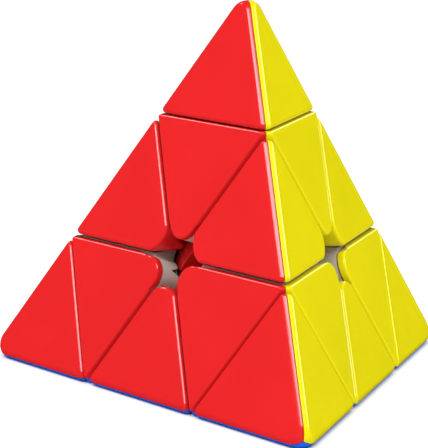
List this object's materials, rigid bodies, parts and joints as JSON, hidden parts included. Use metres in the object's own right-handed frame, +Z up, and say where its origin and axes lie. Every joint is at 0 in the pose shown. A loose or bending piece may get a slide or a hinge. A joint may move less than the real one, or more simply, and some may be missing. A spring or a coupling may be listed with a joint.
{
  "type": "pyramid twisty puzzle",
  "caption": "Stickerless tetrahedral twisty puzzle with flat glossy panels, turning corner layers and tips on a hidden core.",
  "frame": {"origin": "centre of the core, where the four turning axes meet; the flat base lies 20 mm below it", "axes": "+Z up along the top corner's turning axis; the front corner of the base points along -Y; +X to the right"},
  "size_m": [0.0926, 0.081, 0.0756],
  "materials": {
    "red_plastic": "moulded, glossy",
    "yellow_plastic": "moulded, glossy",
    "blue_plastic": "moulded, glossy",
    "green_plastic": "moulded, glossy",
    "grey_plastic": "satin, fine moulded texture",
    "zinc_steel": "zinc plated",
    "spring_steel": "drawn wire"
  },
  "bodies": {
    "core": {"core_spider": "grey_plastic", "top_screw": "zinc_steel", "top_spring": "spring_steel", "top_washer": "zinc_steel", "left_screw": "zinc_steel", "left_spring": "spring_steel", "left_washer": "zinc_steel", "front_screw": "zinc_steel", "front_spring": "spring_steel", "front_washer": "zinc_steel", "right_screw": "zinc_steel", "right_spring": "spring_steel", "right_washer": "zinc_steel"},
    "top_axial": {"top_axial_base": "grey_plastic", "top_axial_cap_yellow": "yellow_plastic", "top_axial_cap_green": "green_plastic", "top_axial_cap_red": "red_plastic"},
    "top_tip": {"top_tip_base": "grey_plastic", "top_tip_shell_yellow": "yellow_plastic", "top_tip_shell_green": "green_plastic", "top_tip_shell_red": "red_plastic"},
    "left_axial": {"left_axial_base": "grey_plastic", "left_axial_cap_blue": "blue_plastic", "left_axial_cap_green": "green_plastic", "left_axial_cap_red": "red_plastic"},
    "left_tip": {"left_tip_base": "grey_plastic", "left_tip_shell_blue": "blue_plastic", "left_tip_shell_green": "green_plastic", "left_tip_shell_red": "red_plastic"},
    "front_axial": {"front_axial_base": "grey_plastic", "front_axial_cap_blue": "blue_plastic", "front_axial_cap_yellow": "yellow_plastic", "front_axial_cap_red": "red_plastic"},
    "front_tip": {"front_tip_base": "grey_plastic", "front_tip_shell_blue": "blue_plastic", "front_tip_shell_yellow": "yellow_plastic", "front_tip_shell_red": "red_plastic"},
    "right_axial": {"right_axial_base": "grey_plastic", "right_axial_cap_blue": "blue_plastic", "right_axial_cap_yellow": "yellow_plastic", "right_axial_cap_green": "green_plastic"},
    "right_tip": {"right_tip_base": "grey_plastic", "right_tip_shell_blue": "blue_plastic", "right_tip_shell_yellow": "yellow_plastic", "right_tip_shell_green": "green_plastic"},
    "edge_top_left": {"edge_top_left_green": "green_plastic", "edge_top_left_red": "red_plastic"},
    "edge_top_front": {"edge_top_front_yellow": "yellow_plastic", "edge_top_front_red": "red_plastic"},
    "edge_top_right": {"edge_top_right_yellow": "yellow_plastic", "edge_top_right_green": "green_plastic"},
    "edge_left_front": {"edge_left_front_blue": "blue_plastic", "edge_left_front_red": "red_plastic"},
    "edge_left_right": {"edge_left_right_blue": "blue_plastic", "edge_left_right_green": "green_plastic"},
    "edge_front_right": {"edge_front_right_blue": "blue_plastic", "edge_front_right_yellow": "yellow_plastic"}
  },
  "joints": [
    {"name": "top_layer_turn", "type": "hinge", "parent": "core", "child": "top_axial", "pos_m": [0, 0, 0], "axis": [0, 0, 1], "range_deg": [-240, 120]},
    {"name": "left_layer_turn", "type": "hinge", "parent": "core", "child": "left_axial", "pos_m": [0, 0, 0], "axis": [-0.8165, 0.4714, -0.3333], "range_deg": [-240, 120]},
    {"name": "front_layer_turn", "type": "hinge", "parent": "core", "child": "front_axial", "pos_m": [0, 0, 0], "axis": [0, -0.9428, -0.3333], "range_deg": [-120, 240]},
    {"name": "right_layer_turn", "type": "hinge", "parent": "core", "child": "right_axial", "pos_m": [0, 0, 0], "axis": [0.8165, 0.4714, -0.3333], "range_deg": [-240, 120]},
    {"name": "top_tip_turn", "type": "hinge", "parent": "top_axial", "child": "top_tip", "pos_m": [0, 0, 0], "axis": [0, 0, 1], "continuous": true},
    {"name": "left_tip_turn", "type": "hinge", "parent": "left_axial", "child": "left_tip", "pos_m": [0, 0, 0], "axis": [-0.8165, 0.4714, -0.3333], "continuous": true},
    {"name": "front_tip_turn", "type": "hinge", "parent": "front_axial", "child": "front_tip", "pos_m": [0, 0, 0], "axis": [0, -0.9428, -0.3333], "continuous": true},
    {"name": "right_tip_turn", "type": "hinge", "parent": "right_axial", "child": "right_tip", "pos_m": [0, 0, 0], "axis": [0.8165, 0.4714, -0.3333], "continuous": true},
    {"name": "edge_top_left_with_left_layer", "type": "hinge", "parent": "top_axial", "child": "edge_top_left", "pos_m": [0, 0, 0], "axis": [-0.8165, 0.4714, -0.3333], "range_deg": [-240, 120]},
    {"name": "edge_top_front_with_front_layer", "type": "hinge", "parent": "top_axial", "child": "edge_top_front", "pos_m": [0, 0, 0], "axis": [0, -0.9428, -0.3333], "range_deg": [-120, 240]},
    {"name": "edge_top_right_with_top_layer", "type": "hinge", "parent": "right_axial", "child": "edge_top_right", "pos_m": [0, 0, 0], "axis": [0, 0, 1], "range_deg": [-240, 120]},
    {"name": "edge_left_front_with_front_layer", "type": "hinge", "parent": "left_axial", "child": "edge_left_front", "pos_m": [0, 0, 0], "axis": [0, -0.9428, -0.3333], "range_deg": [-120, 240]},
    {"name": "edge_left_right_with_right_layer", "type": "hinge", "parent": "left_axial", "child": "edge_left_right", "pos_m": [0, 0, 0], "axis": [0.8165, 0.4714, -0.3333], "range_deg": [-240, 120]},
    {"name": "edge_front_right_with_right_layer", "type": "hinge", "parent": "front_axial", "child": "edge_front_right", "pos_m": [0, 0, 0], "axis": [0.8165, 0.4714, -0.3333], "range_deg": [-240, 120]}
  ],
  "couplings": [
    {"joint": "edge_top_left_with_left_layer", "follows": "left_layer_turn", "ratio": 1},
    {"joint": "edge_top_front_with_front_layer", "follows": "front_layer_turn", "ratio": 1},
    {"joint": "edge_top_right_with_top_layer", "follows": "top_layer_turn", "ratio": 1},
    {"joint": "edge_left_front_with_front_layer", "follows": "front_layer_turn", "ratio": 1},
    {"joint": "edge_left_right_with_right_layer", "follows": "right_layer_turn", "ratio": 1},
    {"joint": "edge_front_right_with_right_layer", "follows": "right_layer_turn", "ratio": 1}
  ]
}
